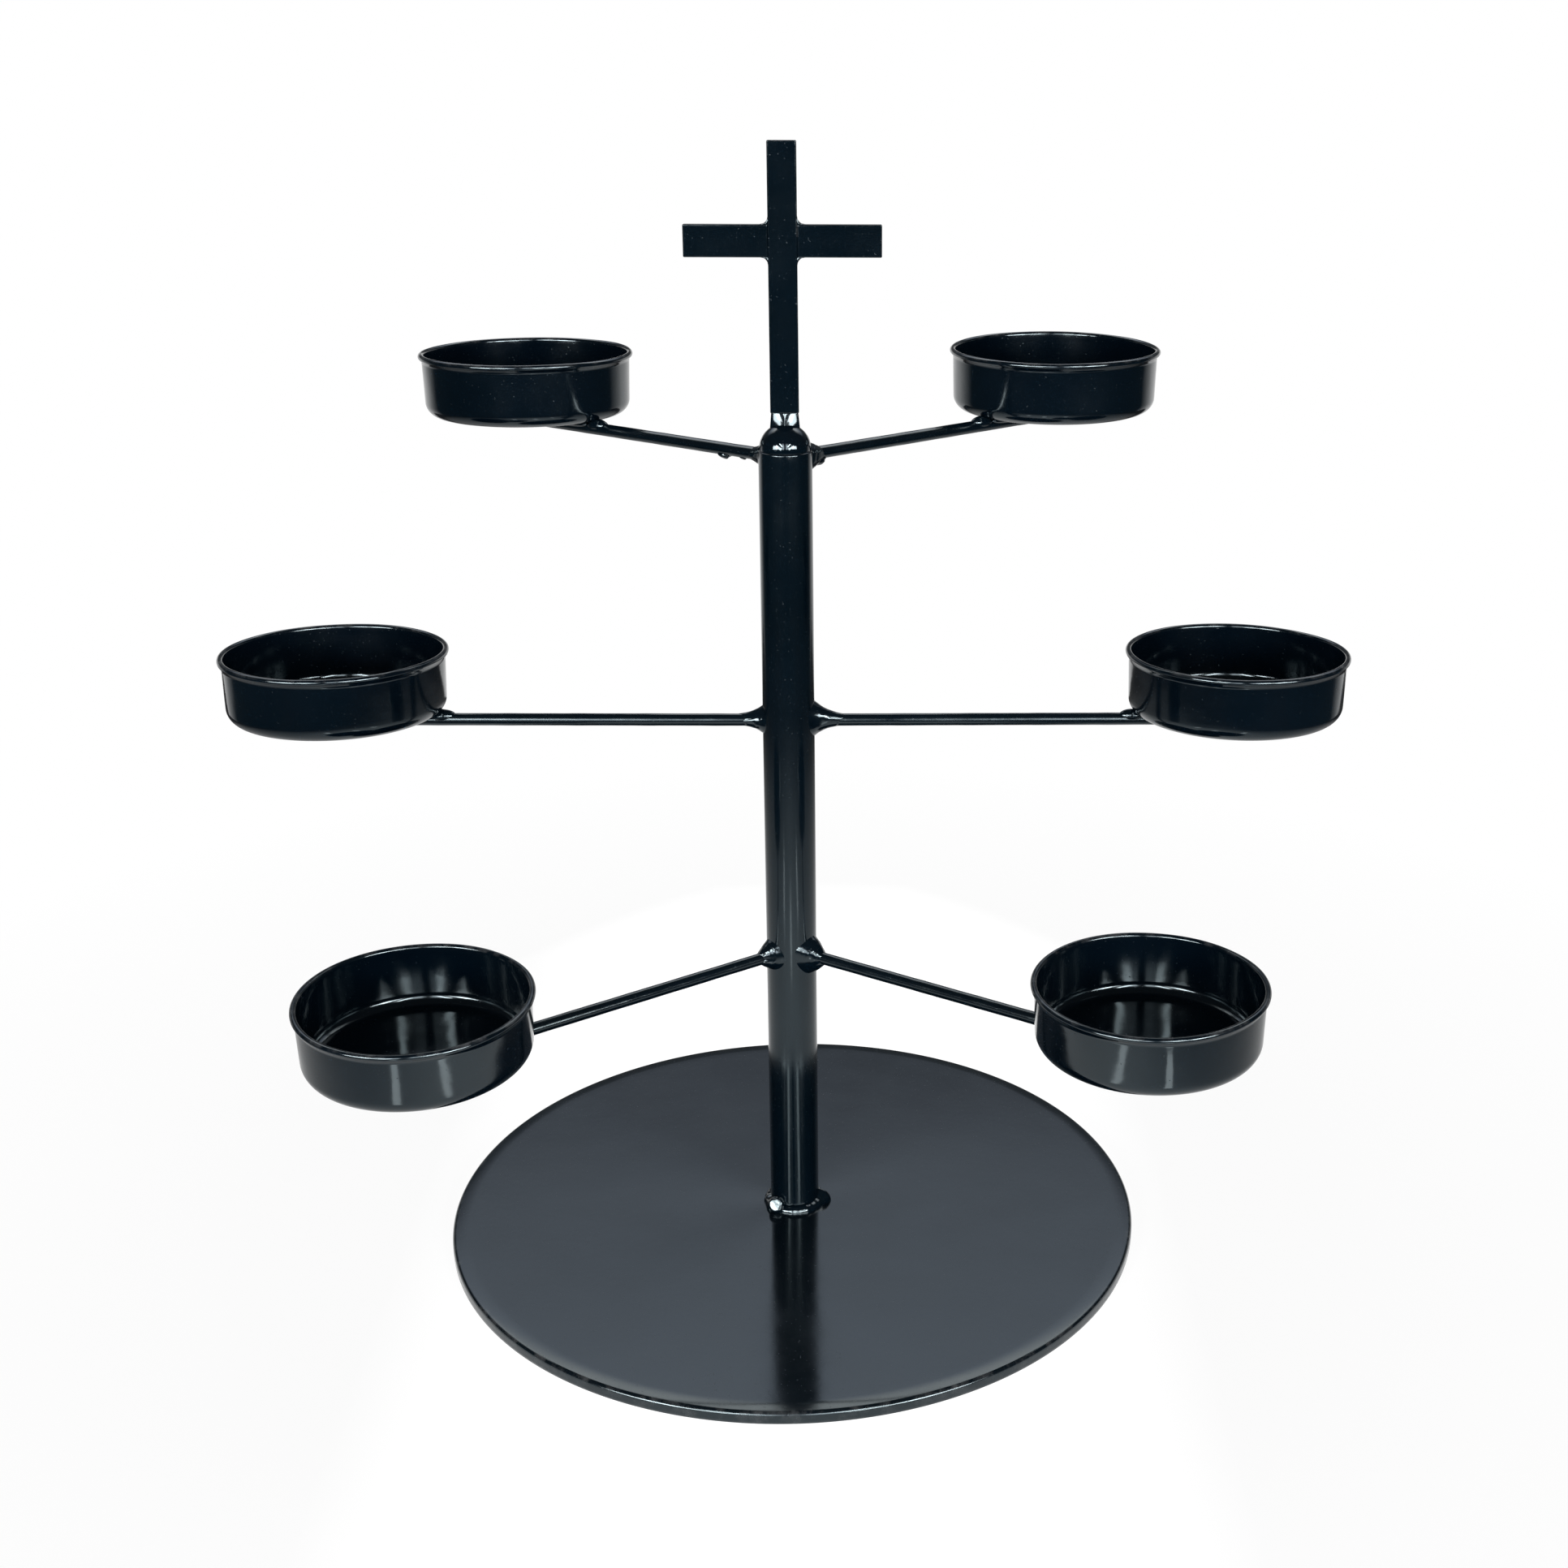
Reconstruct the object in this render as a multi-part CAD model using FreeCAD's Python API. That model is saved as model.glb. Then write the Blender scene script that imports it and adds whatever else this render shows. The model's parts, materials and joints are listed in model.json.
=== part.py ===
"""Altar candle stand: a pressed disc, one upright tube with a domed cap and a flat cross, and six
rod arms in three tiers, each with a shallow round candle cup. Every joint is a weld.

Lengths are in millimetres and angles in degrees. The origin is the middle of the base on the
table, +Z is up, and the front of the stand faces -Y."""
import FreeCAD, Part
import math
import os

Vector = FreeCAD.Vector

# Base disc, pressed from sheet: a flat top that rolls over, turns a tight corner and drops to a skirt,
# which is straight for a share of the height that the corner leaves
base_diameter = 254.0
base_height = 4.6
base_sheet = 1.5
base_roll_radius = 26.0
base_corner_radius = 2.0
base_skirt_share = 0.25

# Upright tube, standing on the disc
post_diameter = 18.0
post_wall = 1.5
post_length = 286.0

# Cap: a half ball of the tube's diameter, with a spigot in the tube's bore
spigot_length = 8.0
spigot_clearance = 0.1

# Weld round the post's foot: a fillet with two larger tacks, at bearings counted from the right
foot_weld_leg = 3.0
foot_tack_radius = 3.6
foot_tack_bearings = (-5.0, -140.0)

# Cross of flat bar, standing on a bead on the cap
cross_thickness = 3.2
cross_upright_width = 9.5
cross_upright_length = 86.8
cross_bar_height = 10.4
cross_bar_length = 64.2
cross_bar_below_top = 31.2
cross_fillet_radius = 2.5
cross_fillet_inset = 0.3
cross_bead_height = 3.5
cross_bead_radius = 3.8
cross_bead_flare = 1.2

# Rod arms: length from the post's axis to the cup's axis, drop from the crown of the cap to the
# rod's axis, and bearing, turned backwards from straight out to the side
rod_diameter = 4.4
rod_past_cup_axis = 6.0
top_arm_length = 123.5
top_arm_drop = 11.6
top_arm_bearing = 38.5
middle_arm_length = 155.7
middle_arm_drop = 103.7
middle_arm_bearing = 0.0
lower_arm_length = 142.8
lower_arm_drop = 191.5
lower_arm_bearing = -34.0

# Weld collars where the rods meet the post
collar_leg = 3.4
collar_reach = 7.0

# Candle cups, pressed from thin sheet with a rounded bottom corner and a rolled rim
cup_bore_diameter = 73.0
cup_height = 22.6
cup_sheet = 1.0
cup_corner_radius = 5.0
cup_rim_bead_radius = 1.1

# Welds under each cup: a lump between the rod and the cup's corner, and a fillet on each side of the rod
cup_lump_radius = 3.0
cup_lump_rise = 0.8
cup_lump_past_flat = 4.0
cup_fillet_leg = 1.6
cup_fillet_root = 1.0
cup_fillet_length = 16.0

# Outward bulge of the foot's bead and of the hollow collars, as a share of the chord that they span
foot_bulge_share = 0.15
collar_bulge_share = -0.06

# Hand-set angles: the droop of each arm towards its cup, and the lean of each cup about its rod
arm_droops = {
    ("top", "left"): 0.2,
    ("top", "right"): -0.7,
    ("middle", "left"): -0.2,
    ("middle", "right"): -0.1,
    ("lower", "left"): 1.2,
    ("lower", "right"): -0.2,
}
cup_leans = {
    ("top", "left"): 0.3,
    ("top", "right"): 0.6,
    ("middle", "left"): 1.7,
    ("middle", "right"): -1.3,
    ("lower", "left"): -1.6,
    ("lower", "right"): 1.1,
}

# The arms' sizes by tier
arm_lengths = {"top": top_arm_length, "middle": middle_arm_length, "lower": lower_arm_length}
arm_drops = {"top": top_arm_drop, "middle": middle_arm_drop, "lower": lower_arm_drop}
arm_bearings = {"top": top_arm_bearing, "middle": middle_arm_bearing, "lower": lower_arm_bearing}
tiers = ("top", "middle", "lower")
sides = ("left", "right")

# Sizes that follow from the ones above
base_radius = base_diameter / 2
post_radius = post_diameter / 2
post_top = base_height + post_length
crown_height = post_top + post_radius
rod_radius = rod_diameter / 2
cup_bore_radius = cup_bore_diameter / 2
cup_wall_radius = cup_bore_radius + cup_sheet
cup_flat_radius = cup_wall_radius - cup_corner_radius
cross_bottom = crown_height + cross_bead_height
cross_top = cross_bottom + cross_upright_length
cross_bar_middle = cross_top - cross_bar_below_top

ORIGIN = Vector(0, 0, 0)
X_AXIS = Vector(1, 0, 0)
Y_AXIS = Vector(0, 1, 0)
Z_AXIS = Vector(0, 0, 1)
FULL_TURN = 360
HALF_TURN = 180
RIGHT_ANGLE = 90


def at(x, z):
    return Vector(x, 0, z)


class Outline:
    """An outline in the XZ plane, drawn on from point to point."""

    def __init__(self, x, z):
        self.start = at(x, z)
        self.here = self.start
        self.edges = []

    def to(self, x, z):
        """Go straight to a point."""
        end = at(x, z)
        self.edges.append(Part.LineSegment(self.here, end).toShape())
        self.here = end
        return self

    def bend(self, centre, start_angle, end_angle):
        """Go round a centre, between two angles counted from +X, at the distance already kept from it."""
        radius = self.here.distanceToPoint(centre)
        middle, end = [
            centre + at(radius * math.cos(turn), radius * math.sin(turn))
            for turn in (math.radians((start_angle + end_angle) / 2), math.radians(end_angle))
        ]
        self.edges.append(Part.Arc(self.here, middle, end).toShape())
        self.here = end
        return self

    def swell(self, x, z, bulge_share):
        """Go to a point along an arc that bulges to the left, or is hollow where the share is negative."""
        end = at(x, z)
        chord = end - self.here
        middle = self.here + chord / 2 + at(-chord.z, chord.x) * bulge_share
        self.edges.append(Part.Arc(self.here, middle, end).toShape())
        self.here = end
        return self

    def face(self):
        """Close the outline with a straight edge and fill it."""
        self.to(self.start.x, self.start.z)
        return Part.Face(Part.Wire(self.edges))


def spin(outline, axis):
    return outline.face().revolve(ORIGIN, axis, FULL_TURN)


def base_disc():
    """Revolved sheet: the roll and the corner are arcs that touch, inside and outside."""
    corner_out = base_radius - base_corner_radius
    corner_up = (base_height - base_corner_radius) * base_skirt_share
    corner_centre = at(corner_out, corner_up)
    lead = base_roll_radius - base_corner_radius
    roll_up = base_height - base_roll_radius
    meeting = math.degrees(math.asin((corner_up - roll_up) / lead))
    roll_centre = at(corner_out - lead * math.cos(math.radians(meeting)), roll_up)
    skirt_inside = base_radius - base_sheet
    sheet = Outline(0, base_height).to(roll_centre.x, base_height)
    sheet.bend(roll_centre, RIGHT_ANGLE, meeting).bend(corner_centre, meeting, 0)
    sheet.to(base_radius, 0).to(skirt_inside, 0).to(skirt_inside, corner_up)
    sheet.bend(corner_centre, 0, meeting).bend(roll_centre, meeting, RIGHT_ANGLE)
    sheet.to(0, base_height - base_sheet)
    return spin(sheet, Z_AXIS)


def post_block():
    """The outside of the post and its cap as one solid, for cutting what is welded to them."""
    block = Outline(0, base_height).to(post_radius, base_height).to(post_radius, post_top)
    block.bend(at(0, post_top), 0, RIGHT_ANGLE)
    return spin(block, Z_AXIS)


def post_tube():
    bore_radius = post_radius - post_wall
    wall = Outline(bore_radius, base_height).to(post_radius, base_height)
    wall.to(post_radius, post_top).to(bore_radius, post_top)
    return spin(wall, Z_AXIS)


def post_cap():
    spigot_radius = post_radius - post_wall - spigot_clearance
    spigot_end = post_top - spigot_length
    cap = Outline(0, spigot_end).to(spigot_radius, spigot_end).to(spigot_radius, post_top)
    cap.to(post_radius, post_top).bend(at(0, post_top), 0, RIGHT_ANGLE)
    return spin(cap, Z_AXIS)


def post_foot_weld():
    """A fillet round the tube's foot, joined by two round tacks."""
    fillet = Outline(post_radius, base_height).to(post_radius + foot_weld_leg, base_height)
    weld = spin(fillet.swell(post_radius, base_height + foot_weld_leg, foot_bulge_share), Z_AXIS)
    for bearing in foot_tack_bearings:
        tack = Part.makeSphere(foot_tack_radius, at(post_radius + foot_weld_leg / 2, base_height))
        tack.rotate(ORIGIN, Z_AXIS, bearing)
        weld = weld.fuse(tack)
    base_block = Part.makeCylinder(base_radius, base_height)
    return weld.cut(post_block()).cut(base_block).removeSplitter()


def cross_bar(x_from, x_to, z_from, z_to):
    """A flat bar in the cross's plane."""
    corner = Vector(x_from, -cross_thickness / 2, z_from)
    return Part.makeBox(x_to - x_from, cross_thickness, z_to - z_from, corner)


def cross_upright():
    return cross_bar(-cross_upright_width / 2, cross_upright_width / 2, cross_bottom, cross_top)


def cross_arm(side):
    z_from = cross_bar_middle - cross_bar_height / 2
    z_to = cross_bar_middle + cross_bar_height / 2
    if side == "left":
        return cross_bar(-cross_bar_length / 2, -cross_upright_width / 2, z_from, z_to)
    return cross_bar(cross_upright_width / 2, cross_bar_length / 2, z_from, z_to)


def cross_corner_welds():
    """Four hollow fillets in the inner corners, a little thinner than the bars."""
    x = cross_upright_width / 2
    z = cross_bar_height / 2
    corner = Outline(x, z).to(x + cross_fillet_radius, z)
    corner.bend(at(x + cross_fillet_radius, z + cross_fillet_radius), -RIGHT_ANGLE, -HALF_TURN)
    depth = cross_thickness - cross_fillet_inset * 2
    fillet = corner.face().extrude(Y_AXIS * depth)
    fillet.translate(Y_AXIS * (-depth / 2))
    right = [fillet, fillet.mirror(ORIGIN, Z_AXIS)]
    welds = Part.makeCompound(right + [weld.mirror(ORIGIN, X_AXIS) for weld in right])
    welds.translate(Z_AXIS * cross_bar_middle)
    return welds


def cross_foot_weld():
    """A short flared bead between the crown of the cap and the cross's lower end."""
    bead = Outline(0, cross_bottom).to(cross_bead_radius, cross_bottom)
    bead.to(cross_bead_radius + cross_bead_flare, post_top).to(0, post_top)
    return spin(bead, Z_AXIS).cut(post_block())


def seat(shape, tier, side):
    """Carry a shape from an arm's own frame, where the rod runs along +X from the post's axis."""
    bearing = arm_bearings[tier]
    shape.rotate(ORIGIN, Y_AXIS, arm_droops[tier, side])
    shape.rotate(ORIGIN, Z_AXIS, bearing if side == "right" else HALF_TURN - bearing)
    shape.translate(Z_AXIS * (crown_height - arm_drops[tier]))
    return shape


def seat_leaning(shape, tier, side):
    """The same for a cup and what holds it, which also lean about the rod."""
    shape.rotate(ORIGIN, X_AXIS, cup_leans[tier, side])
    return seat(shape, tier, side)


def rod_blank(tier):
    return Part.makeCylinder(rod_radius, arm_lengths[tier] + rod_past_cup_axis, ORIGIN, X_AXIS)


def arm(tier, side):
    """A rod whose inner end is cut to the saddle of the post."""
    return seat(rod_blank(tier), tier, side).cut(post_block())


def arm_weld(tier, side):
    """A hollow collar round the rod, cut to the post and the rod."""
    collar = Outline(0, 0).to(0, rod_radius + collar_leg)
    collar.to(post_radius - collar_leg, rod_radius + collar_leg)
    collar.swell(post_radius + collar_reach, rod_radius, collar_bulge_share)
    collar.to(post_radius + collar_reach, 0)
    ring = spin(collar, X_AXIS).cut(rod_blank(tier))
    return seat(ring, tier, side).cut(post_block())


def cup_blank():
    """The cup's outside as a solid standing on the XY plane: flat, corner, wall and rolled rim."""
    bead_centre = at(cup_bore_radius + cup_rim_bead_radius, cup_height - cup_rim_bead_radius)
    wall_to_centre = cup_wall_radius - bead_centre.x
    under_bead = bead_centre.z - math.sqrt(cup_rim_bead_radius ** 2 - wall_to_centre ** 2)
    bead_start = -math.degrees(math.acos(wall_to_centre / cup_rim_bead_radius))
    block = Outline(0, 0).to(cup_flat_radius, 0)
    block.bend(at(cup_flat_radius, cup_corner_radius), -RIGHT_ANGLE, 0)
    block.to(cup_wall_radius, under_bead).bend(bead_centre, bead_start, RIGHT_ANGLE)
    block.to(0, cup_height)
    return spin(block, Z_AXIS)


def cup_hollow():
    """The space inside the cup, with the rim's inner edge rounded by its bead."""
    bead_centre = at(cup_bore_radius + cup_rim_bead_radius, cup_height - cup_rim_bead_radius)
    space = Outline(0, cup_height).to(0, cup_sheet).to(cup_flat_radius, cup_sheet)
    space.bend(at(cup_flat_radius, cup_corner_radius), -RIGHT_ANGLE, 0)
    space.to(cup_bore_radius, bead_centre.z).bend(bead_centre, HALF_TURN, RIGHT_ANGLE)
    return spin(space, Z_AXIS)


def on_rod(shape, tier):
    """Set a shape made on the XY plane at the cup's axis, on top of the rod."""
    shape.translate(at(arm_lengths[tier], rod_radius))
    return shape


def cup(tier, side):
    return seat_leaning(on_rod(cup_blank().cut(cup_hollow()), tier), tier, side)


def cup_weld(tier, side):
    """A lump between the rod and the cup's corner, and a fillet on each side of the rod under the flat."""
    rod = rod_blank(tier)
    flat_edge = arm_lengths[tier] - cup_flat_radius
    lump_centre = at(flat_edge - cup_lump_past_flat, rod_radius + cup_lump_rise)
    lump = Part.makeSphere(cup_lump_radius, lump_centre)
    lump = lump.cut(on_rod(cup_blank(), tier)).cut(rod)
    corners = [
        (cup_fillet_root, rod_radius),
        (rod_radius + cup_fillet_leg, rod_radius),
        (rod_radius, 0),
        (cup_fillet_root, 0),
    ]
    points = [Vector(flat_edge, y, z) for y, z in corners]
    section = Part.Face(Part.makePolygon(points + points[:1]))
    fillet = section.extrude(X_AXIS * cup_fillet_length).cut(rod)
    return [seat_leaning(weld, tier, side) for weld in (lump, fillet, fillet.mirror(ORIGIN, Y_AXIS))]


def pieces():
    """Every node's name and shape."""
    yield "base_disc", base_disc()
    yield "post_tube", post_tube()
    yield "post_cap", post_cap()
    yield "post_foot_weld", post_foot_weld()
    yield "cross_upright", cross_upright()
    yield "cross_corner_welds", cross_corner_welds()
    yield "cross_foot_weld", cross_foot_weld()
    for side in sides:
        yield f"cross_arm_{side}", cross_arm(side)
    for tier in tiers:
        for side in sides:
            yield f"arm_{tier}_{side}", arm(tier, side)
            yield f"cup_{tier}_{side}", cup(tier, side)
        yield f"arm_welds_{tier}", Part.makeCompound([arm_weld(tier, side) for side in sides])
        yield f"cup_welds_{tier}", Part.makeCompound(cup_weld(tier, "left") + cup_weld(tier, "right"))


os.makedirs("parts", exist_ok=True)
for name, shape in pieces():
    shape.exportStep(f"parts/{name}.step")
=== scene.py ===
import json
import math

import bpy
import numpy as np
from mathutils import Matrix, Vector


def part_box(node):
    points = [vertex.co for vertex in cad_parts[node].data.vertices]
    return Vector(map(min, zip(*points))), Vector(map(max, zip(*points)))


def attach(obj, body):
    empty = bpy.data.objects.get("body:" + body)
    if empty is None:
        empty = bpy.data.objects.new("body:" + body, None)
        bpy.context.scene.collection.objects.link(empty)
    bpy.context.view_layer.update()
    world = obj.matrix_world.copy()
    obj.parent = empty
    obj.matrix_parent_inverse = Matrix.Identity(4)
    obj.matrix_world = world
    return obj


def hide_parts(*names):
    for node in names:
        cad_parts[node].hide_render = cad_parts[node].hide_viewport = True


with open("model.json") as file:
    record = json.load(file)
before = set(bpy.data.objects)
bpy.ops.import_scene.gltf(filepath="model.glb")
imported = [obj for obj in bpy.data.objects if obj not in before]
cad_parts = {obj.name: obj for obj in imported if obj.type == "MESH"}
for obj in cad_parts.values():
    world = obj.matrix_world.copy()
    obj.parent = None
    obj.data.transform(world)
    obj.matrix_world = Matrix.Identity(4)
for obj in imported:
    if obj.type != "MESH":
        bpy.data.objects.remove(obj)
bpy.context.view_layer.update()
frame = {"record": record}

# The altar candle stand in gloss black enamel. Every piece is a surface worked out on a grid, in
# millimetres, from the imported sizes, and stands where its solid stands.
MM = 0.001
TURN = 2 * math.pi
PLACES_PER_MM = 1e4


def box_mm(node):
    low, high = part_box(node)
    return np.array(low) / MM, np.array(high) / MM


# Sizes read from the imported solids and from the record's bores
disc_high = box_mm("base_disc")[1]
tube_low, tube_high = box_mm("post_tube")
rod_low, rod_high = box_mm("arm_middle_right")
disc_radius = min(disc_high[0], disc_high[1])
disc_top = disc_high[2]
post_radius = tube_high[0]
post_foot = tube_low[2]
post_top = tube_high[2]
rod_radius = (rod_high[1] - rod_low[1]) / 2
bores = [mount for mount in frame["record"]["mounts"] if mount["kind"] == "bore"]
cup_wall_straight = bores[0]["dims"]["length_mm"]

# Sizes of the pressings; the last of each group are the steps of the grid round the turn
disc_sheet = 1.5
disc_roll_radius = 40.0
disc_roll_turn = 7.0
disc_corner_radius = 1.5
disc_edge_break = 0.25
disc_sag = 0.24
disc_wear_in = 0.8
disc_wear_width = 0.9
disc_around = 384
tube_edge = 0.55
tube_wear_width = 0.8
cap_root = 1.0
cap_ledge = 0.45
cap_lobes = 0.04
cap_slant = 2
post_around = 128
cup_sheet = 1.0
cup_corner = 5.0
cup_bead = 1.1
cup_height = cup_corner + cup_wall_straight + cup_bead
cup_taper = 0.5
cup_taper_run = 6.0
cup_drift = 0.14
cup_dip = 0.20
cup_slant = 0.7
cup_wear_down = 0.2
cup_wear_width = 0.5
cup_around = 288

# Sizes of the rods, the bars and the welds; welds and rods run into what they join by sunk
sunk = 0.35
rod_past_cup = 6.0
rod_chamfer = 0.5
rod_paint = 0.03
rod_paint_runs = 40
bar_rounding = 0.45
bar_steps = 6
bar_wear_gain = 4


def spread(start, end, count):
    return np.linspace(start, end, count)


def round_turn(count):
    """Angles of a whole turn in even steps, without the last, which is the first again."""
    return spread(0, TURN, count + 1)[:-1]


def ripple(angle, seed, orders):
    """A sum of cosines round the turn, one for each order, with seeded phases and falling weights, which
    stays within -1 and 1."""
    rng = np.random.default_rng(seed)
    phases = rng.uniform(0, TURN, len(orders))
    weights = 1.0 / np.arange(1, len(orders) + 1)
    waves = sum(w * np.cos(k * angle + p) for w, k, p in zip(weights, orders, phases))
    return waves / weights.sum()


def unit(vector):
    return vector / np.linalg.norm(vector, axis=-1, keepdims=True)


def worn(place, edge, width):
    """Wear along an edge: 1 on it, falling on both sides as a bell of the given width."""
    return np.exp(-((place - edge) / width) ** 2)


def skin(points, normals=None, edge=None):
    """Quads between neighbouring rows and columns of a grid whose columns close round. Points in the
    same place become one vertex, so seams and poles close, and the faces are turned to give a positive
    volume."""
    rows, columns = points.shape[:2]
    index = np.arange(rows * columns).reshape(rows, columns)
    after = np.roll(index, -1, axis=1)
    quads = np.stack([index[:-1], after[:-1], after[1:], index[1:]], -1).reshape(-1, 4)
    flat = points.reshape(-1, 3)
    rounded = np.round(flat * PLACES_PER_MM).astype(np.int64)
    first, back = np.unique(rounded, axis=0, return_index=True, return_inverse=True)[1:]
    quads = back.reshape(-1)[quads]
    places = flat[first]
    differs = quads != np.roll(quads, -1, axis=1)
    count = differs.sum(1)
    faces = [quads[count == 4], quads[count == 3][differs[count == 3]].reshape(-1, 3)]
    volume = 0.0
    for group in faces:
        for corner in range(1, group.shape[1] - 1):
            a, b, c = places[group[:, 0]], places[group[:, corner]], places[group[:, corner + 1]]
            volume += np.einsum("ij,ij->", a, np.cross(b, c))
    if volume < 0:
        faces = [group[:, ::-1] for group in faces]
    given = None if normals is None else normals.reshape(-1, 3)[first]
    wear = np.zeros(len(first))
    if edge is not None:
        wear = np.broadcast_to(edge, (rows, columns)).reshape(-1)[first]
    return places, faces, given, wear


def piece(name, node, material, skins):
    """One object from one or more skins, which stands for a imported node."""
    places, lists, normals, wear = [], [], [], []
    offset = 0
    for skin_places, faces, given, skin_wear in skins:
        places.append(skin_places)
        normals.append(given)
        wear.append(skin_wear)
        for group in faces:
            lists.extend((group + offset).tolist())
        offset += len(skin_places)
    mesh = bpy.data.meshes.new(name)
    mesh.from_pydata((np.concatenate(places) * MM).tolist(), [], lists)
    mesh.polygons.foreach_set("use_smooth", np.ones(len(mesh.polygons), bool))
    layer = mesh.attributes.new("edge_wear", "FLOAT", "POINT")
    layer.data.foreach_set("value", np.concatenate(wear).astype(np.float32))
    mesh.update()
    if all(given is not None for given in normals):
        mesh.normals_split_custom_set_from_vertices(np.concatenate(normals).tolist())
    made = bpy.data.objects.new(name, mesh)
    bpy.context.scene.collection.objects.link(made)
    mesh.materials.append(material)
    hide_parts(node)
    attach(made, "root")


def turned(profile, around, radial=0.0, rise=0.0):
    """A profile of radius and height, turned round the upright axis. The fields radial and rise are
    added to its radius and its height."""
    angle = round_turn(around)
    radius = profile[:, :1] + radial
    height = profile[:, 1:] + rise
    return np.stack(np.broadcast_arrays(radius * np.cos(angle), radius * np.sin(angle), height), -1)


def arc(centre, radius, start, end, count):
    """Points on a circle in radius and height, between two angles counted from outwards."""
    angle = np.radians(spread(start, end, count))
    return np.stack([centre[0] + radius * np.cos(angle), centre[1] + radius * np.sin(angle)], 1)


def line(start, end, count):
    share = spread(0, 1, count)[:, None]
    return np.array(start) * (1 - share) + np.array(end) * share


def moved(points, origin, axis, ahead):
    """Points from a frame whose up is axis and whose first direction is ahead, set at origin."""
    side = np.cross(axis, ahead)
    return origin + points[..., :1] * ahead + points[..., 1:2] * side + points[..., 2:] * axis


def lumpy_ball(rows, columns, sizes, depth, seed, orders, slant):
    """A ball of half sizes along three axes, whose radius ripples by a depth round the turn, on lines
    that slant with its height."""
    tilt = spread(-math.pi / 2, math.pi / 2, rows)[:, None]
    turn = round_turn(columns)
    level = np.cos(tilt)
    ball = np.stack(np.broadcast_arrays(level * np.cos(turn), level * np.sin(turn), np.sin(tilt)), -1)
    around = np.arctan2(ball[..., 1], ball[..., 0])
    rough = 1 + depth * ripple(around + slant * ball[..., 2], seed, orders)
    return ball * rough[..., None] * sizes


# Finishes: how many patches of each kind lie along a metre, the part of the noise over which each goes
# from none to its most, and the colours of thin paint and of the gloss

tone_patches = 28.0
haze_patches = 45.0
thin_patches = 160.0
grit_patches = 1400.0
tone_span = (0.3, 0.7)
haze_span = (0.35, 0.75)
thin_span = (0.48, 0.68)
grit_span = (0.70, 0.78)
thin_most = 0.7
thin_rougher = 0.2
grit_rougher = 0.22
thin_paint = (0.055, 0.057, 0.060)
gloss_tint = (0.80, 0.95, 1.0)
enamel_ior = 1.5


def paint_node(tree, kind, values=(), **settings):
    made = tree.nodes.new(kind)
    for key, value in settings.items():
        setattr(made, key, value)
    for key, value in dict(values).items():
        made.inputs[key].default_value = value
    return made


def noise(tree, place, scale, detail, roughness=0.5):
    values = {"Scale": scale, "Detail": detail, "Roughness": roughness}
    made = paint_node(tree, "ShaderNodeTexNoise", values)
    tree.links.new(place.outputs["Object"], made.inputs["Vector"])
    return made.outputs["Fac"]


def ranged(tree, value, low, high, to_low, to_high):
    values = {"From Min": low, "From Max": high, "To Min": to_low, "To Max": to_high}
    made = paint_node(tree, "ShaderNodeMapRange", values)
    tree.links.new(value, made.inputs["Value"])
    return made.outputs["Result"]


def maths(tree, operation, first, second):
    made = paint_node(tree, "ShaderNodeMath", operation=operation)
    for socket, value in zip(made.inputs, (first, second)):
        if isinstance(value, (int, float)):
            socket.default_value = value
        else:
            tree.links.new(value, socket)
    return made.outputs[0]


def blended(tree, share, first, second):
    """A colour that goes from the first to the second as the share goes from 0 to 1."""
    made = paint_node(tree, "ShaderNodeMix", data_type="RGBA")
    tree.links.new(share, made.inputs["Factor"])
    for key, colour in (("A", first), ("B", second)):
        if isinstance(colour, tuple):
            made.inputs[key].default_value = (*colour, 1)
        else:
            tree.links.new(colour, made.inputs[key])
    return made.outputs["Result"]


def mixed_surface(tree, share, first, second, output):
    """Two shaders mixed by a share, as the surface of an output."""
    mix = paint_node(tree, "ShaderNodeMixShader")
    tree.links.new(share, mix.inputs[0])
    tree.links.new(first.outputs[0], mix.inputs[1])
    tree.links.new(second.outputs[0], mix.inputs[2])
    tree.links.new(mix.outputs[0], tree.nodes[output].inputs["Surface"])


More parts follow.
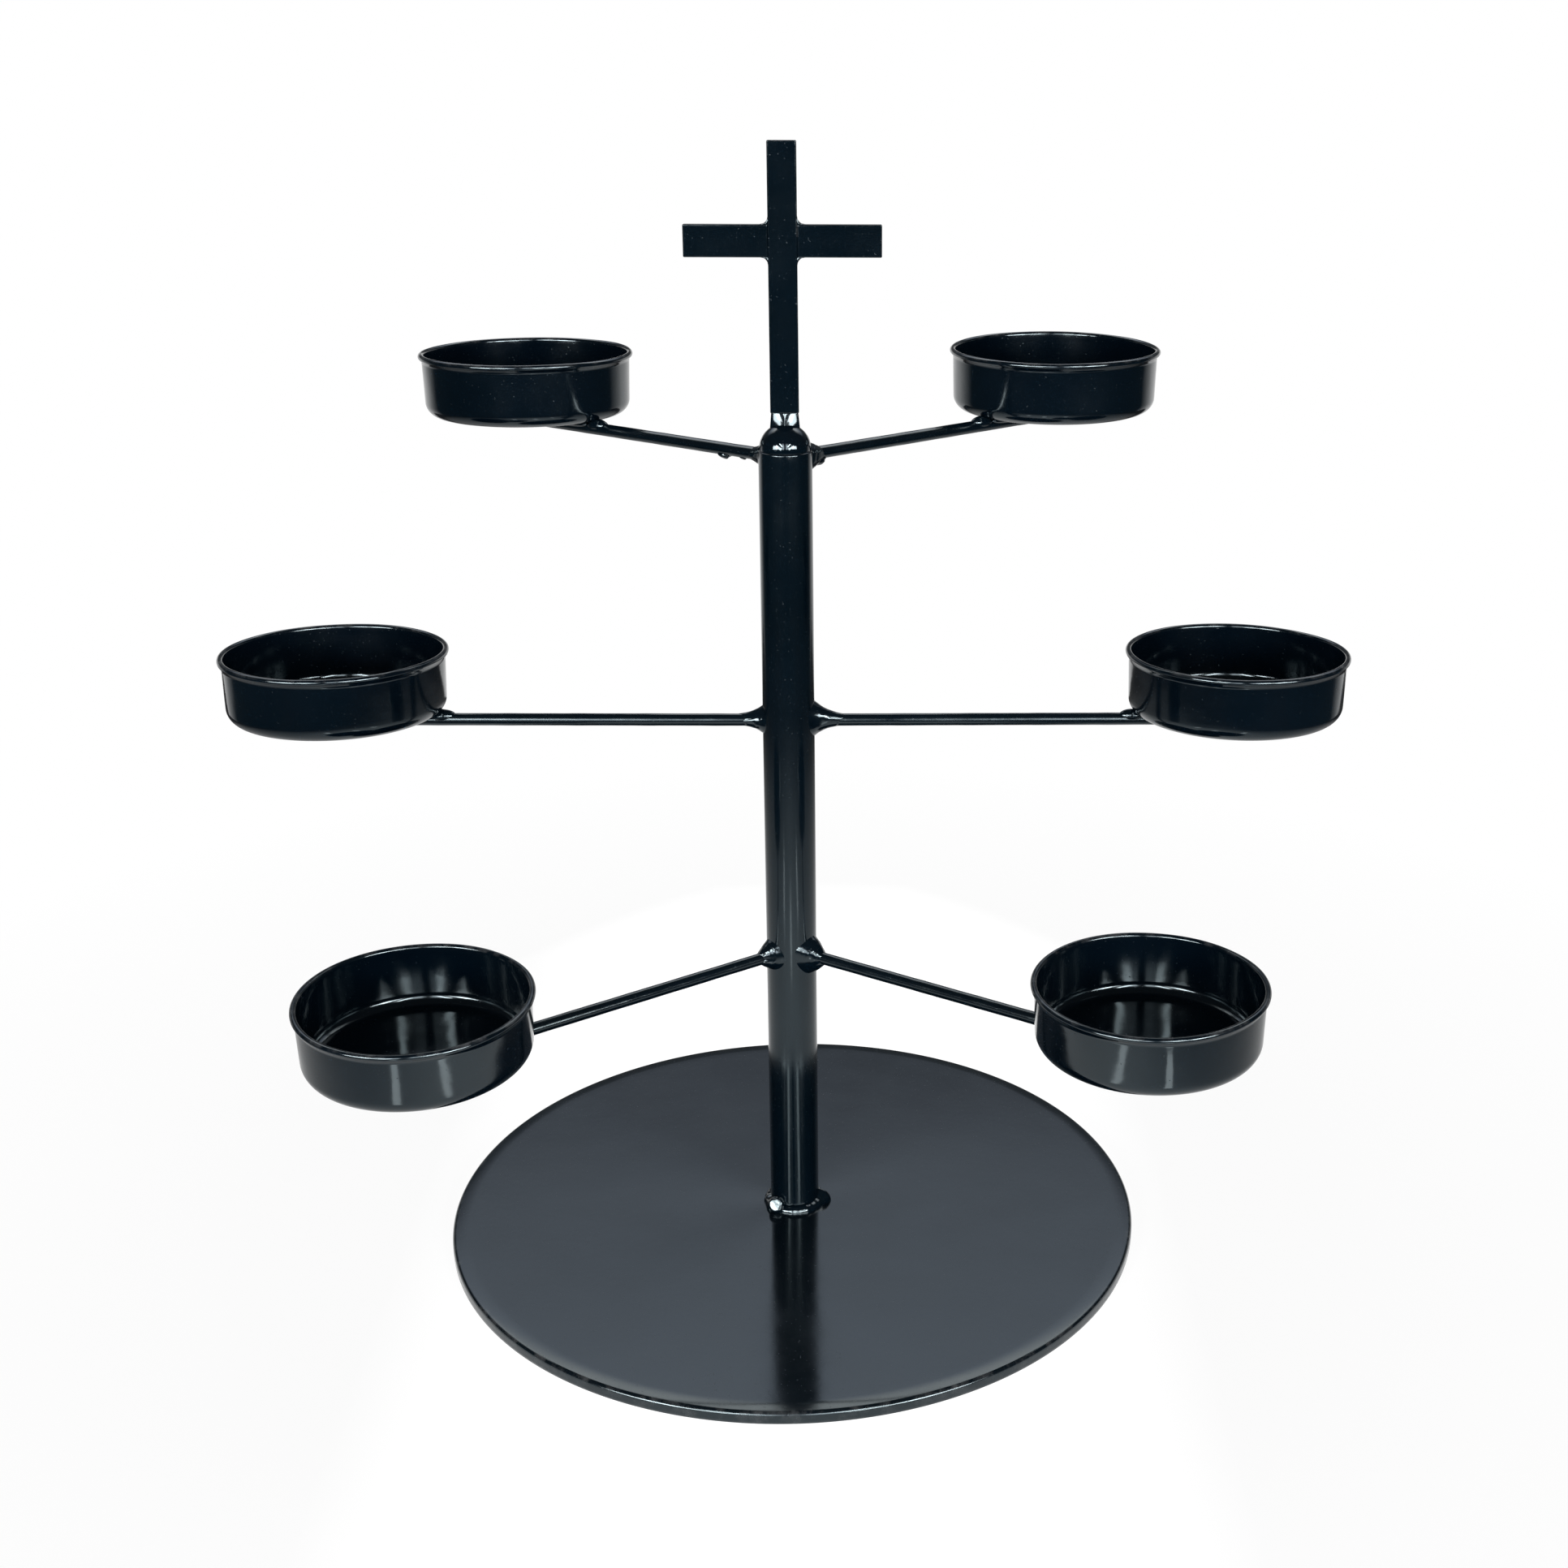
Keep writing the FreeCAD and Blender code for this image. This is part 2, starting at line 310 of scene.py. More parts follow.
def enamel(name, tones, gloss, peel, waves):
    """Sprayed black enamel: a tone that drifts between two, a roughness that drifts between the two
    values of gloss, with specks of grit, orange peel and slower waves of a size and a depth in
    millimetres, and thin paint in patches along the worn edges."""
    material = bpy.data.materials.new(name)
    material.use_nodes = True
    tree = material.node_tree
    shader = tree.nodes["Principled BSDF"]
    place = paint_node(tree, "ShaderNodeTexCoord")
    drift = ranged(tree, noise(tree, place, tone_patches, detail=3.0), *tone_span, 0.0, 1.0)
    tone = blended(tree, drift, *tones)
    edge = paint_node(tree, "ShaderNodeAttribute", attribute_name="edge_wear")
    thinned = noise(tree, place, thin_patches, detail=4.0, roughness=0.6)
    patches = ranged(tree, thinned, *thin_span, 0.0, thin_most)
    bare = maths(tree, "MULTIPLY", edge.outputs["Fac"], patches)
    tree.links.new(blended(tree, bare, tone, thin_paint), shader.inputs["Base Color"])
    hazy = noise(tree, place, haze_patches, detail=4.0, roughness=0.6)
    haze = ranged(tree, hazy, *haze_span, *gloss)
    gritty = noise(tree, place, grit_patches, detail=1.0)
    grit = ranged(tree, gritty, *grit_span, 0.0, grit_rougher)
    bare_rough = maths(tree, "MULTIPLY", bare, thin_rougher)
    rough = maths(tree, "ADD", maths(tree, "ADD", haze, grit), bare_rough)
    tree.links.new(rough, shader.inputs["Roughness"])
    peel_noise = noise(tree, place, 1 / (peel[0] * MM), detail=1.5)
    peel_up = maths(tree, "MULTIPLY", peel_noise, peel[1] * MM)
    wave_noise = noise(tree, place, 1 / (waves[0] * MM), detail=1.0)
    wave_up = maths(tree, "MULTIPLY", wave_noise, waves[1] * MM)
    bump = paint_node(tree, "ShaderNodeBump", {"Strength": 1.0, "Distance": 1.0})
    tree.links.new(maths(tree, "ADD", peel_up, wave_up), bump.inputs["Height"])
    tree.links.new(bump.outputs["Normal"], shader.inputs["Normal"])
    shader.inputs["IOR"].default_value = enamel_ior
    shader.inputs["Specular Tint"].default_value = (*gloss_tint, 1)
    return material


black = ((0.0004, 0.0024, 0.0046), (0.0014, 0.0042, 0.0075))
disc_black = ((0.0012, 0.0030, 0.0050), (0.0026, 0.0052, 0.0080))
cup_black = ((0.0003, 0.0020, 0.0042), (0.0012, 0.0036, 0.0068))
disc_enamel = enamel("disc_enamel", disc_black, gloss=(0.10, 0.17), peel=(2.6, 0.006), waves=(30.0, 0.05))
tube_enamel = enamel("tube_enamel", black, gloss=(0.10, 0.18), peel=(2.2, 0.008), waves=(18.0, 0.04))
rod_enamel = enamel("rod_enamel", black, gloss=(0.12, 0.24), peel=(1.8, 0.012), waves=(6.0, 0.05))
cup_enamel = enamel("cup_enamel", cup_black, gloss=(0.08, 0.16), peel=(2.4, 0.010), waves=(12.0, 0.10))
cross_enamel = enamel("cross_enamel", black, gloss=(0.08, 0.15), peel=(2.0, 0.010), waves=(9.0, 0.05))
weld_enamel = enamel("weld_enamel", black, gloss=(0.07, 0.15), peel=(1.1, 0.008), waves=(3.2, 0.05))
lump_enamel = enamel("lump_enamel", black, gloss=(0.08, 0.16), peel=(2.0, 0.006), waves=(6.0, 0.04))
cap_enamel = enamel("cap_enamel", black, gloss=(0.06, 0.12), peel=(2.0, 0.008), waves=(7.0, 0.05))

# Base disc


def disc_skin():
    """The pressed disc: flat on top, a shallow roll and a tight corner down to the skirt, and the same
    way back inside, turned round the upright axis. The flat sags by 4 s (1 - s), with s its share of
    the radius, times a ripple round the turn."""
    meeting = 90 - disc_roll_turn
    roll_lead = disc_roll_radius - disc_corner_radius
    roll_up = disc_top - disc_roll_radius
    skirt = roll_up + roll_lead * math.sin(math.radians(meeting))
    corner_centre = (disc_radius - disc_corner_radius, skirt)
    roll_centre = (corner_centre[0] - roll_lead * math.cos(math.radians(meeting)), roll_up)
    inside = disc_radius - disc_sheet
    under = disc_top - disc_sheet
    profile = np.concatenate([
        line((0, disc_top), (roll_centre[0], disc_top), 44),
        arc(roll_centre, disc_roll_radius, 90, meeting, 14)[1:],
        arc(corner_centre, disc_corner_radius, meeting, 0, 14)[1:],
        line((disc_radius, skirt), (disc_radius, disc_edge_break), 4)[1:],
        line((disc_radius - disc_edge_break, 0), (inside + disc_edge_break, 0), 4),
        line((inside, disc_edge_break), (inside, skirt - disc_sheet / 3), 3),
        arc(roll_centre, disc_roll_radius - disc_sheet, meeting + 2, 90, 8),
        line((roll_centre[0], under), (0, under), 12)[1:],
    ])
    share = np.clip(profile[:, :1] / roll_centre[0], 0, 1)
    sag = share * (1 - share) * 4
    slack = -disc_sag * sag * (1 + ripple(round_turn(disc_around), seed=3, orders=(2, 3, 4)))
    wear = worn(profile[:, :1], disc_radius - disc_wear_in, disc_wear_width)
    return skin(turned(profile, disc_around, rise=slack), edge=wear)


piece("base_disc.enamel", "base_disc", disc_enamel, [disc_skin()])

# Post and cap


def tube_skin():
    """The post: a straight wall with a rounded upper edge, turned round the upright axis and closed at
    both ends."""
    round_centre = (post_radius - tube_edge, post_top - tube_edge)
    profile = np.concatenate([
        [[0, post_foot]],
        line((post_radius, post_foot), (post_radius, round_centre[1]), 90),
        arc(round_centre, tube_edge, 0, 90, 7)[1:],
        [[0, post_top]],
    ])
    wear = worn(profile[:, 1:], post_top, tube_wear_width)
    return skin(turned(profile, post_around), edge=wear)


def cap_skin():
    """The cap: a quarter circle turned round the upright axis. It is drawn in at its foot by a ledge
    that fades with the cube of the height, and between foot and top by lobes that ripple round the
    turn."""
    profile = np.concatenate([[[0, post_top - cap_root]], arc((0, post_top), post_radius, 0, 90, 44)])
    height = np.clip((profile[:, 1:] - post_top) / post_radius, 0, 1)
    ledge = -cap_ledge * (1 - height) ** 3
    uneven = 1 + ripple(round_turn(post_around) + cap_slant * height, seed=5, orders=(3, 4, 7))
    lobes = -cap_lobes * np.sin(np.pi * height) * uneven
    off_axis = profile[:, :1] > 1e-6
    return skin(turned(profile, post_around, radial=(ledge + lobes) * off_axis))


piece("post_tube.enamel", "post_tube", tube_enamel, [tube_skin()])
piece("post_cap.enamel", "post_cap", cap_enamel, [cap_skin()])

# Weld round the post's foot: each tack has its bearing in degrees, its width as an angle and its swell

foot_leg = 3.0
foot_even = 0.86
foot_uneven = 0.14
foot_bulge = 0.2
foot_tuck = 0.93
foot_tacks = [(-5.0, 0.16, 2.2), (-140.0, 0.22, 0.9)]
nugget_sizes = [3.2, 2.9, 3.4]
nugget_bearing = -128
nugget_out = 1.3
nugget_up = 2.2
nugget_facet = [-0.27, -0.84, 0.47]
nugget_facet_at = 2.2
nugget_flattened = 0.94


def foot_bead():
    """A fillet from the disc to the tube: its leg ripples round the turn and grows at the two tacks."""
    angle = round_turn(360)
    leg = foot_leg * (foot_even + foot_uneven * ripple(angle, seed=11, orders=(5, 9, 14, 23)))
    for tack_bearing, width, swell in foot_tacks:
        away = (angle - math.radians(tack_bearing) + math.pi) % TURN - math.pi
        leg = leg + swell * np.exp(-(away / width) ** 2)
    turn = spread(0, 1, 18)[:, None]
    bulge = foot_bulge * leg * np.sin(np.pi * turn)
    radius = post_radius + (leg * (1 - turn) + bulge)
    height = post_foot + (leg * turn + bulge - sunk * (turn == 0))
    ring = np.stack([radius * np.cos(angle), radius * np.sin(angle), height], -1)
    top = ring[-1:] * [foot_tuck, foot_tuck, 1]
    centre = np.zeros_like(top)
    under = centre + [0, 0, post_foot - sunk]
    inside = centre + [0, 0, post_foot + 1]
    return skin(np.concatenate([under, ring, top, inside]))


def foot_nugget():
    """A flat-faced nugget of weld at the left front of the foot: a rippled ball whose points beyond a
    plane are drawn back onto it."""
    shape = lumpy_ball(31, 60, nugget_sizes, depth=0.05, seed=15, orders=(2, 3, 5), slant=2)
    facet = unit(np.array(nugget_facet))
    beyond = np.maximum(shape @ facet - nugget_facet_at, 0)[..., None]
    bearing_angle = math.radians(nugget_bearing)
    lead = post_radius + nugget_out
    place = [lead * math.cos(bearing_angle), lead * math.sin(bearing_angle), post_foot + nugget_up]
    return skin(shape - nugget_flattened * beyond * facet + place)


piece("post_foot_weld.enamel", "post_foot_weld", weld_enamel, [foot_bead(), foot_nugget()])

# Cross


def flat_bar(node):
    """A bar with rounded edges: each direction d of a sphere, with the sign of its octant, is pushed to
    the bar's corner and out by the rounding, p = sign (half - rounding) + rounding d, and d is the
    normal."""
    low, high = box_mm(node)
    half = (high - low) / 2
    steps = np.radians(spread(0, 90, bar_steps))
    turn = np.concatenate([steps + quarter * math.pi / 2 for quarter in range(4)])
    quarter_x = np.repeat([1, -1, -1, 1], bar_steps)
    quarter_z = np.repeat([1, 1, -1, -1], bar_steps)
    tilt = np.concatenate([steps - math.pi / 2, steps])[:, None]
    half_y = np.repeat([-1, 1], bar_steps)[:, None]
    level = np.cos(tilt)
    ball = np.stack(np.broadcast_arrays(level * np.cos(turn), np.sin(tilt), level * np.sin(turn)), -1)
    signs = np.stack(np.broadcast_arrays(quarter_x, half_y, quarter_z), -1)
    points = signs * (half - bar_rounding) + bar_rounding * ball
    face = np.zeros((1,) + points.shape[1:])
    points = np.concatenate([face + [0, -half[1], 0], points, face + [0, half[1], 0]])
    normals = np.concatenate([face + [0, -1, 0], ball, face + [0, 1, 0]])
    wear = np.clip((1 - np.abs(normals).max(-1)) * bar_wear_gain, 0, 1)
    return skin(points + (low + high) / 2, normals, wear)


for node in ("cross_upright", "cross_arm_left", "cross_arm_right"):
    piece(node + ".enamel", node, cross_enamel, [flat_bar(node)])

fillet_rim = 0.4
fillet_rim_share = 0.75
fillet_heart = 0.35


def corner_fillets():
    """Four hollow fillets in the cross's inner corners: a quarter circle between the two bars, carried
    through the thickness, whose rim is cut back towards the fillet's heart at both faces."""
    high = box_mm("cross_corner_welds")[1]
    bar_low, bar_high = box_mm("cross_arm_right")
    upright_high = box_mm("cross_upright")[1]
    corner = np.array([upright_high[0], 0, bar_high[2]])
    radius = high[2] - bar_high[2]
    middle = (bar_low[2] + bar_high[2]) / 2
    sweep = np.radians(spread(-90, -180, 14))
    hollow = np.stack([radius + radius * np.cos(sweep), 0 * sweep, radius + radius * np.sin(sweep)], 1)
    loop = np.concatenate([hollow, [[-sunk, 0, radius], [-sunk, 0, -sunk], [radius, 0, -sunk]]])
    half = high[1]
    inset = [
        (0.0, -half), (fillet_rim_share, -half), (1.0, fillet_rim - half),
        (1.0, half - fillet_rim), (fillet_rim_share, half), (0.0, half),
    ]
    heart = np.array([fillet_heart, 0, fillet_heart])
    rows = np.stack([heart + (loop - heart) * share + [0, depth, 0] for share, depth in inset])
    skins = []
    for x_sign in (1, -1):
        for z_sign in (1, -1):
            placed = (rows + corner - [0, 0, middle]) * [x_sign, 1, z_sign] + [0, 0, middle]
            skins.append(skin(placed))
    return skins


piece("cross_corner_welds.enamel", "cross_corner_welds", weld_enamel, corner_fillets())

bead_half_width = 4.5
bead_half_depth = 1.2
bead_wider_below = 0.45
bead_deeper_below = 1.75
bead_power = 1.12
bead_uneven = 0.008
bead_slant = 0.8


def cross_bead():
    """A bead from the cross's lower end to the cap, wide across and thin through: its plan is the rounded
    lozenge |x / a|^p + |y / b|^p = 1, whose half width a and half depth b grow downwards, with a slight
    ripple."""
    low, high = box_mm("cross_foot_weld")
    angle = round_turn(144)
    share = spread(0, 1, 26)[:, None]
    across = bead_half_width + bead_wider_below * share
    through = bead_half_depth + bead_deeper_below * share
    lozenge = np.abs(np.cos(angle) / across) ** bead_power + np.abs(np.sin(angle) / through) ** bead_power
    uneven = 1 + bead_uneven * ripple(angle + bead_slant * share, seed=21, orders=(2, 3, 5))
    radius = lozenge ** (-1 / bead_power) * uneven
    height = high[2] - (high[2] - low[2] + sunk) * share
    rows = np.stack(np.broadcast_arrays(radius * np.cos(angle), radius * np.sin(angle), height), -1)
    pole = np.zeros_like(rows[:1])
    return skin(np.concatenate([pole + [0, 0, high[2]], rows, pole + [0, 0, low[2] - sunk]]))


piece("cross_foot_weld.enamel", "cross_foot_weld", cap_enamel, [cross_bead()])

# Cups, arms and their welds


def cup_frames():
    """For each bore of the record: the cup's bottom and axis, and the rod under it, which meets the
    post's axis where the plane square to the cup's axis through the rod cuts it."""
    frames = {}
    for mount in bores:
        axis = unit(np.array(mount["axis"]))
        middle = np.array(mount["pos_m"]) / MM
        bottom = middle - axis * (cup_corner + mount["dims"]["length_mm"] / 2)
        under = bottom - axis * rod_radius
        start = np.array([0, 0, under @ axis / axis[2]])
        key = mount["name"][len("cup_"):-len("_bore")]
        frames[key] = {
            "bottom": bottom, "axis": axis, "start": start, "ahead": unit(under - start),
            "length": np.linalg.norm(under - start), "bore": mount["dims"]["r_mm"],
        }
    return frames


def cup_skin(held, seed):
    """A pressed cup: bottom, corner, wall, rolled rim and the same way back inside, turned round the
    axis. The wall tapers evenly towards the bottom and drifts inwards by tenths of a millimetre, and
    the rim dips a little, the last two by a ripple round the turn."""
    bore = held["bore"]
    wall = bore + cup_sheet
    flat = bore + cup_sheet - cup_corner
    bead_at = (bore + cup_bead, cup_height - cup_bead)
    lead = wall - bead_at[0]
    under = bead_at[1] - math.sqrt(cup_bead ** 2 - lead ** 2)
    bead_start = -math.degrees(math.acos(lead / cup_bead))
    profile = np.concatenate([
        line((0, 0), (flat, 0), 12),
        arc((flat, cup_corner), cup_corner, -90, 0, 12)[1:],
        line((wall, cup_corner), (wall, under), 12)[1:],
        arc(bead_at, cup_bead, bead_start, 180, 22)[1:],
        line((bore, bead_at[1]), (bore, cup_corner), 12)[1:],
        arc((flat, cup_corner), cup_corner - cup_sheet, 0, -90, 12)[1:],
        line((flat, cup_sheet), (0, cup_sheet), 14)[1:],
    ])
    angle = round_turn(cup_around)
    climb = np.clip(profile[:, 1:] / cup_height, 0, 1)
    onset = np.clip((profile[:, :1] - flat + cup_taper_run) / cup_taper_run, 0, 1)
    up_wall = np.clip((profile[:, 1:] - cup_corner) / (under - cup_corner), 0, 1)
    taper = -cup_taper * (1 - up_wall) * onset
    drift = cup_drift * (1 + ripple(angle + cup_slant * climb, seed, (2, 3, 5, 9))) * onset * climb
    dip = -cup_dip * (1 + ripple(angle, seed + 1, (2, 3, 4, 7))) * climb ** 3
    points = turned(profile, cup_around, radial=taper - drift, rise=dip)
    wear = worn(profile[:, 1:], cup_height - cup_wear_down, cup_wear_width)
    return skin(moved(points, held["bottom"], held["axis"], held["ahead"]), edge=wear)


def leave_post(start, ahead):
    """How far lines from inside the post run before they leave it: to the tube, where the distance from
    the axis is the radius, or to the ball of the cap, where that lies above the tube's end."""
    run = ahead[:2]
    a, b = run @ run, start[..., :2] @ run
    to_tube = (-b + np.sqrt(b * b - a * ((start[..., :2] ** 2).sum(-1) - post_radius ** 2))) / a
    from_ball = start - [0, 0, post_top]
    b = from_ball @ ahead
    to_ball = -b + np.sqrt(np.maximum(b * b - (from_ball ** 2).sum(-1) + post_radius ** 2, 0))
    return np.where(start[..., 2] + to_tube * ahead[2] > post_top, to_ball, to_tube)


def rod_sides(held, angle):
    """Directions square to the rod, at angles counted from upwards."""
    side = unit(np.cross(held["ahead"], [0, 0, 1.0]))
    above = np.cross(side, held["ahead"])
    return np.cos(angle)[..., None] * above + np.sin(angle)[..., None] * side


def rod_skin(held, seed):
    """A round rod: circles carried along its line from the post's saddle to a chamfered end, with the
    paint a little thicker in places."""
    angle = round_turn(40)
    sides = rod_sides(held, angle)
    begin = leave_post(held["start"] + rod_radius * sides, held["ahead"]) - sunk
    end = held["length"] + rod_past_cup
    share = spread(0, 1, 120)[:, None]
    along = begin * (1 - share) + (end - rod_chamfer) * share
    radius = rod_radius - rod_paint * (1 + ripple(share * rod_paint_runs + 0 * angle, seed, (1, 2, 3)))
    body = held["start"] + along[..., None] * held["ahead"] + radius[..., None] * sides
    tip = held["start"] + end * held["ahead"] + 0 * body[:1]
    chamfer = tip + (rod_radius - rod_chamfer) * sides
    root = held["start"] + begin.mean() * held["ahead"] + 0 * body[:1]
    return skin(np.concatenate([root, body, chamfer, tip]))


collar_leg_uneven = 0.13
collar_reach_uneven = 0.16
collar_lumps = 0.06
collar_slant = 5
collar_tuck = 0.4
collar_lip = 0.05
drip_stretch = 1.5


def collar_skin(held, seed, legs, reaches, bulge):
    """A weld collar round the rod: a ring A on the post and a ring B on the rod, joined by p = (1 - t)
    A + t B with a bulge of sin(pi t), or a hollow where it is negative. The legs and reaches go from
    their upper to their lower values round the rod and ripple."""
    angle = round_turn(96)
    sides = rod_sides(held, angle)
    low_share = (1 - np.cos(angle)) / 2
    leg = legs[0] * (1 - low_share) + legs[1] * low_share
    leg = leg * (1 + collar_leg_uneven * ripple(angle, seed, (2, 3, 5, 7)))
    reach = reaches[0] * (1 - low_share) + reaches[1] * low_share
    reach = reach * (1 + collar_reach_uneven * ripple(angle, seed + 1, (1, 3, 4, 7)))
    on_post = held["start"] + (rod_radius + leg)[:, None] * sides
    on_post = on_post + (leave_post(on_post, held["ahead"]) - sunk)[:, None] * held["ahead"]
    on_rod = held["start"] + rod_radius * sides
    on_rod = on_rod + (leave_post(on_rod, held["ahead"]) + reach)[:, None] * held["ahead"]
    turn = spread(0, 1, 26)[:, None]
    arch = np.sin(np.pi * turn)
    lumps = collar_lumps * ripple(angle + collar_slant * turn, seed + 2, (3, 5, 8, 11)) * arch
    span = np.linalg.norm(on_rod - on_post, axis=-1)
    swell = bulge * span * arch + lumps
    out = unit(sides + held["ahead"])
    rows = (1 - turn[..., None]) * on_post + turn[..., None] * on_rod + swell[..., None] * out
    last = on_rod - collar_tuck * sides + collar_lip * held["ahead"]
    root = held["start"] + 0 * rows[:1]
    tip = last.mean(0) + 0 * rows[:1]
    return skin(np.concatenate([root, rows, last[None], tip]))


def drip_skin(held, seed, along, radius, hang):
    """A run of weld under a rod: a ball drawn out along the rod, with ripples, whose heart hangs below
    the rod's line."""
    sizes = [drip_stretch * radius, radius, radius]
    shape = lumpy_ball(21, 36, sizes, depth=0.12, seed=seed, orders=(2, 3, 5), slant=2)
    below = rod_sides(held, np.array([math.pi]))[0]
    place = held["start"] + along * held["ahead"] + hang * below
    return skin(moved(shape, place, -below, held["ahead"]))


def outside_cup(points, held):
    """Points that lie inside the cup's outside are moved out to just under its skin: along the corner's
    radius beside the corner, outwards beside the wall and downwards under the flat."""
    wall = held["bore"] + cup_sheet - sunk
    flat = held["bore"] + cup_sheet - cup_corner
    radius = np.hypot(points[..., 0], points[..., 1])
    height = points[..., 2]
    corner = (radius > flat) & (height < cup_corner)
    lead, drop = radius - flat, height - cup_corner
    gap = np.maximum(np.hypot(lead, drop), 1e-6)
    push = np.maximum((cup_corner - sunk) / gap, 1)
    by_wall = np.where(height < cup_corner, radius, np.maximum(radius, wall))
    by_flat = np.where(radius <= flat, np.minimum(height, sunk), height)
    new_radius = np.where(corner, flat + lead * push, by_wall)
    new_height = np.where(corner, cup_corner + drop * push, by_flat)
    scale = (new_radius / np.maximum(radius, 1e-6))[..., None]
    return np.concatenate([points[..., :2] * scale, new_height[..., None]], -1)


lump_sizes = [5.0, 2.5, 2.3]
lump_out = 3.0
lump_down = 0.9
side_bead_sizes = [8.0, 1.5, 1.25]
side_bead_in = 8
side_bead_off_rod = 0.2
side_bead_down = 0.75


def cup_weld_skins(held, seed):
    """Welds under one cup: a lump between the rod and the cup's corner and a low bead on each side of
    the rod, each a stretched ball with ripples, kept out of the cup."""
    flat = held["bore"] + cup_sheet - cup_corner
    lump = lumpy_ball(25, 48, lump_sizes, depth=0.06, seed=seed, orders=(1, 2, 3), slant=1)
    bead = lumpy_ball(25, 48, side_bead_sizes, depth=0.06, seed=seed, orders=(1, 2, 3), slant=1)
    beside = rod_radius + side_bead_off_rod
    shapes = [
        lump + [-flat - lump_out, 0, -lump_down],
        bead + [-flat + side_bead_in, beside, -side_bead_down],
        bead * [1, -1, 1] + [-flat + side_bead_in, -beside, -side_bead_down],
    ]
    skins = []
    for shape in shapes:
        kept_out = outside_cup(shape, held)
        skins.append(skin(moved(kept_out, held["bottom"], held["axis"], held["ahead"])))
    return skins


# Each collar: legs up and down the post, reaches along the rod above and below it, and its bulge
collar_shapes = {
    "top_left": ((2.0, 2.6), (4.5, 6.5), -0.04),
    "top_right": ((2.4, 3.8), (5.0, 6.0), 0.02),
    "middle_left": ((3.4, 2.6), (7.5, 6.5), -0.08),
    "middle_right": ((5.0, 3.4), (9.5, 8.5), -0.08),
    "lower_left": ((4.4, 3.4), (4.6, 4.6), 0.02),
    "lower_right": ((5.2, 4.4), (5.4, 5.2), 0.05),
}
# Each run of weld: how far along the rod it is, its radius and how far it hangs
weld_runs = {
    "top_left": ((18.5, 1.4, 1.3), (27.0, 2.0, 1.4)),
    "top_right": ((13.5, 2.2, 2.0),),
}
first_seed = 100
seeds_in_tier = 20
seeds_in_side = 10
held_cups = cup_frames()
for tier_number, tier in enumerate(("top", "middle", "lower")):
    collars, welds = [], []
    for side_number, side in enumerate(("left", "right")):
        key = f"{tier}_{side}"
        held = held_cups[key]
        seed = first_seed + seeds_in_tier * tier_number + seeds_in_side * side_number
        piece(f"cup_{key}.enamel", f"cup_{key}", cup_enamel, [cup_skin(held, seed)])
        piece(f"arm_{key}.enamel", f"arm_{key}", rod_enamel, [rod_skin(held, seed + 2)])
        collars.append(collar_skin(held, seed + 3, *collar_shapes[key]))
        collars.extend(drip_skin(held, seed + 8, *run) for run in weld_runs.get(key, ()))
        welds.extend(cup_weld_skins(held, seed + 6))
    piece(f"arm_welds_{tier}.enamel", f"arm_welds_{tier}", weld_enamel, collars)
    piece(f"cup_welds_{tier}.enamel", f"cup_welds_{tier}", lump_enamel, welds)

# Floor, backdrop and light: distances in metres, and levels where 1 is white

floor_paint = (0.92, 0.92, 0.92)
floor_half = 0.62
shadow_span = (0.20, 0.50)
shadow_white = (0.90, 1.0)
# Painted reflection: how brightly the floor glows in gloss, by distance from the stand and from the middle
# line
fading_span = (0.26, 0.58)
painted_glow_levels = (1.0, 0.06)
aside_span = (0.05, 0.26)
painted_glow_aside_levels = (1.2, 0.75)


def seen_rays(tree):
    """Two shares: 1 for rays from the camera and for those that come by way of gloss or glass, 0 for
    the rest, and 1 for rays from the camera alone."""
    path = paint_node(tree, "ShaderNodeLightPath")
    both = maths(tree, "MAXIMUM", path.outputs["Is Glossy Ray"], path.outputs["Is Transmission Ray"])
    return maths(tree, "MAXIMUM", path.outputs["Is Camera Ray"], both), path.outputs["Is Camera Ray"]


def pale_floor():
    """A square pale floor. The camera sees it white, with a tenth of the lit floor and its shadow mixed in
    near the stand. In gloss it glows as a painted reflection, brightest along the middle line, and fading
    with distance and to the sides."""
    mesh = bpy.data.meshes.new("pale_floor")
    half = floor_half
    corners = [(-half, -half, 0), (half, -half, 0), (half, half, 0), (-half, half, 0)]
    mesh.from_pydata(corners, [], [(0, 1, 2, 3)])
    floor = bpy.data.objects.new("pale_floor", mesh)
    bpy.context.scene.collection.objects.link(floor)
    material = bpy.data.materials.new("pale_floor")
    material.use_nodes = True
    tree = material.node_tree
    tree.nodes.remove(tree.nodes["Principled BSDF"])
    lit = paint_node(tree, "ShaderNodeBsdfDiffuse", {"Color": (*floor_paint, 1)})
    white = paint_node(tree, "ShaderNodeEmission", {"Color": (1, 1, 1, 1)})
    seen, camera_ray = seen_rays(tree)
    place = paint_node(tree, "ShaderNodeTexCoord")
    away = paint_node(tree, "ShaderNodeVectorMath", operation="LENGTH")
    tree.links.new(place.outputs["Object"], away.inputs[0])
    split = paint_node(tree, "ShaderNodeSeparateXYZ")
    tree.links.new(place.outputs["Object"], split.inputs[0])
    fading = ranged(tree, away.outputs["Value"], *fading_span, *painted_glow_levels)
    off_middle = maths(tree, "ABSOLUTE", split.outputs["X"], 0.0)
    aside = ranged(tree, off_middle, *aside_span, *painted_glow_aside_levels)
    # Painted reflection: the floor's glow in gloss, brightest along the middle line and fading outwards
    in_gloss = maths(tree, "MULTIPLY", fading, aside)
    tree.links.new(maths(tree, "MAXIMUM", camera_ray, in_gloss), white.inputs["Strength"])
    share = ranged(tree, away.outputs["Value"], *shadow_span, *shadow_white)
    mixed_surface(tree, maths(tree, "MULTIPLY", seen, share), lit, white, "Material Output")
    mesh.materials.append(material)


pale_floor()


